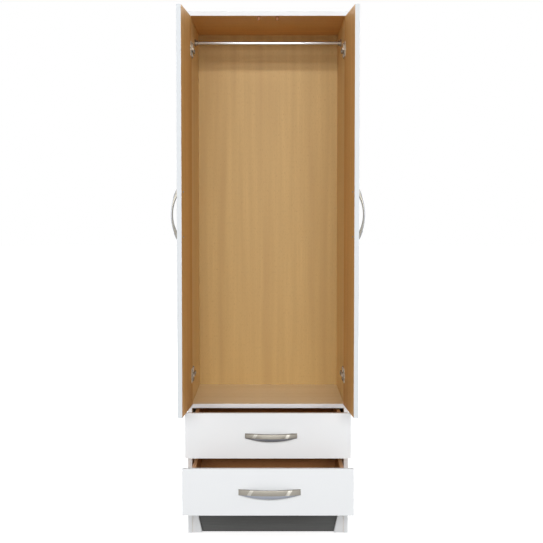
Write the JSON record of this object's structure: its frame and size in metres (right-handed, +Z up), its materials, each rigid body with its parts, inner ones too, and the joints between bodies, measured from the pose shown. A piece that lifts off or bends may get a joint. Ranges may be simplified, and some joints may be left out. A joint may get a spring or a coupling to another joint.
{
  "type": "wardrobe",
  "caption": "Tall narrow wardrobe with two hinged doors, a hanging rail and two drawers below, on a recessed plinth.",
  "frame": {"origin": "on the floor, under the middle of the wardrobe's box with its doors and drawers open as at rest", "axes": "+Z up, the front and its doors look along -Y, +X to the right of someone facing the wardrobe"},
  "size_m": [0.6234, 0.794, 1.778],
  "materials": {
    "white_melamine": "white melamine faced chipboard with white edging; faces inside the hanging space are beech effect",
    "beech_melamine": "beech effect melamine with a white front edge",
    "drawer_beech": "light beech effect foil on chipboard",
    "hardboard": "thin hardboard printed beech effect",
    "dark_plinth": "dark grey melamine faced chipboard",
    "satin_nickel": "satin nickel plated zinc casting",
    "chromed_steel": "chromed steel tube",
    "hinge_nickel": "nickel plated pressed steel",
    "white_enamel": "white epoxy coated steel",
    "white_nylon": "moulded white nylon",
    "copper_plastic": "moulded copper brown plastic"
  },
  "bodies": {
    "carcass": {"left_side_panel": "white_melamine", "right_side_panel": "white_melamine", "top_panel": "white_melamine", "wardrobe_floor_panel": "beech_melamine", "base_panel": "white_melamine", "front_plinth": "dark_plinth", "rear_plinth": "white_melamine", "left_foot_block": "white_melamine", "right_foot_block": "white_melamine", "back_panel": "hardboard", "hanging_rail": "chromed_steel", "left_rail_socket": "chromed_steel", "right_rail_socket": "chromed_steel", "left_door_stop": "copper_plastic", "right_door_stop": "copper_plastic", "left_upper_hinge_plate": "hinge_nickel", "left_upper_hinge_arm": "hinge_nickel", "left_lower_hinge_plate": "hinge_nickel", "left_lower_hinge_arm": "hinge_nickel", "right_upper_hinge_plate": "hinge_nickel", "right_upper_hinge_arm": "hinge_nickel", "right_lower_hinge_plate": "hinge_nickel", "right_lower_hinge_arm": "hinge_nickel", "upper_left_cabinet_runner": "white_enamel", "upper_right_cabinet_runner": "white_enamel", "lower_left_cabinet_runner": "white_enamel", "lower_right_cabinet_runner": "white_enamel"},
    "left_door": {"left_door_panel": "white_melamine", "left_door_handle": "satin_nickel", "left_upper_hinge_cup": "hinge_nickel", "left_lower_hinge_cup": "hinge_nickel"},
    "right_door": {"right_door_panel": "white_melamine", "right_door_handle": "satin_nickel", "right_upper_hinge_cup": "hinge_nickel", "right_lower_hinge_cup": "hinge_nickel"},
    "upper_drawer": {"upper_drawer_front": "white_melamine", "upper_drawer_left_side": "drawer_beech", "upper_drawer_right_side": "drawer_beech", "upper_drawer_back": "drawer_beech", "upper_drawer_bottom": "hardboard", "upper_drawer_handle": "satin_nickel", "upper_left_drawer_runner": "white_enamel", "upper_right_drawer_runner": "white_enamel"},
    "lower_drawer": {"lower_drawer_front": "white_melamine", "lower_drawer_left_side": "drawer_beech", "lower_drawer_right_side": "drawer_beech", "lower_drawer_back": "drawer_beech", "lower_drawer_bottom": "hardboard", "lower_drawer_handle": "satin_nickel", "lower_left_drawer_runner": "white_enamel", "lower_right_drawer_runner": "white_enamel"},
    "upper_front_rollers": {"upper_left_front_roller": "white_nylon", "upper_right_front_roller": "white_nylon"},
    "upper_rear_rollers": {"upper_left_rear_roller": "white_nylon", "upper_right_rear_roller": "white_nylon"},
    "lower_front_rollers": {"lower_left_front_roller": "white_nylon", "lower_right_front_roller": "white_nylon"},
    "lower_rear_rollers": {"lower_left_rear_roller": "white_nylon", "lower_right_rear_roller": "white_nylon"}
  },
  "joints": [
    {"name": "left_door_hinge", "type": "hinge", "parent": "carcass", "child": "left_door", "pos_m": [-0.26675, -0.07725, 1.1], "axis": [0, 0, -1], "range_deg": [-93.5, 6.5]},
    {"name": "right_door_hinge", "type": "hinge", "parent": "carcass", "child": "right_door", "pos_m": [0.26675, -0.07725, 1.1], "axis": [0, 0, 1], "range_deg": [-93.5, 6.5]},
    {"name": "upper_drawer_slide", "type": "slide", "parent": "carcass", "child": "upper_drawer", "axis": [0, -1, 0], "range_m": [-0.145, 0.155]},
    {"name": "lower_drawer_slide", "type": "slide", "parent": "carcass", "child": "lower_drawer", "axis": [0, -1, 0], "range_m": [-0.29, 0.01]},
    {"name": "upper_front_roller_spin", "type": "hinge", "parent": "carcass", "child": "upper_front_rollers", "pos_m": [0, -0.052, 0.323], "axis": [1, 0, 0], "range_deg": [-980, 1050]},
    {"name": "upper_rear_roller_spin", "type": "hinge", "parent": "upper_drawer", "child": "upper_rear_rollers", "pos_m": [0, 0.174, 0.323], "axis": [1, 0, 0], "range_deg": [-980, 1050]},
    {"name": "lower_front_roller_spin", "type": "hinge", "parent": "carcass", "child": "lower_front_rollers", "pos_m": [0, -0.052, 0.169], "axis": [1, 0, 0], "range_deg": [-1960, 70]},
    {"name": "lower_rear_roller_spin", "type": "hinge", "parent": "lower_drawer", "child": "lower_rear_rollers", "pos_m": [0, 0.029, 0.169], "axis": [1, 0, 0], "range_deg": [-1960, 70]}
  ],
  "couplings": [
    {"joint": "upper_front_roller_spin", "follows": "upper_drawer_slide", "rad_per_m": 117.65},
    {"joint": "upper_rear_roller_spin", "follows": "upper_drawer_slide", "rad_per_m": 117.65},
    {"joint": "lower_front_roller_spin", "follows": "lower_drawer_slide", "rad_per_m": 117.65},
    {"joint": "lower_rear_roller_spin", "follows": "lower_drawer_slide", "rad_per_m": 117.65}
  ]
}
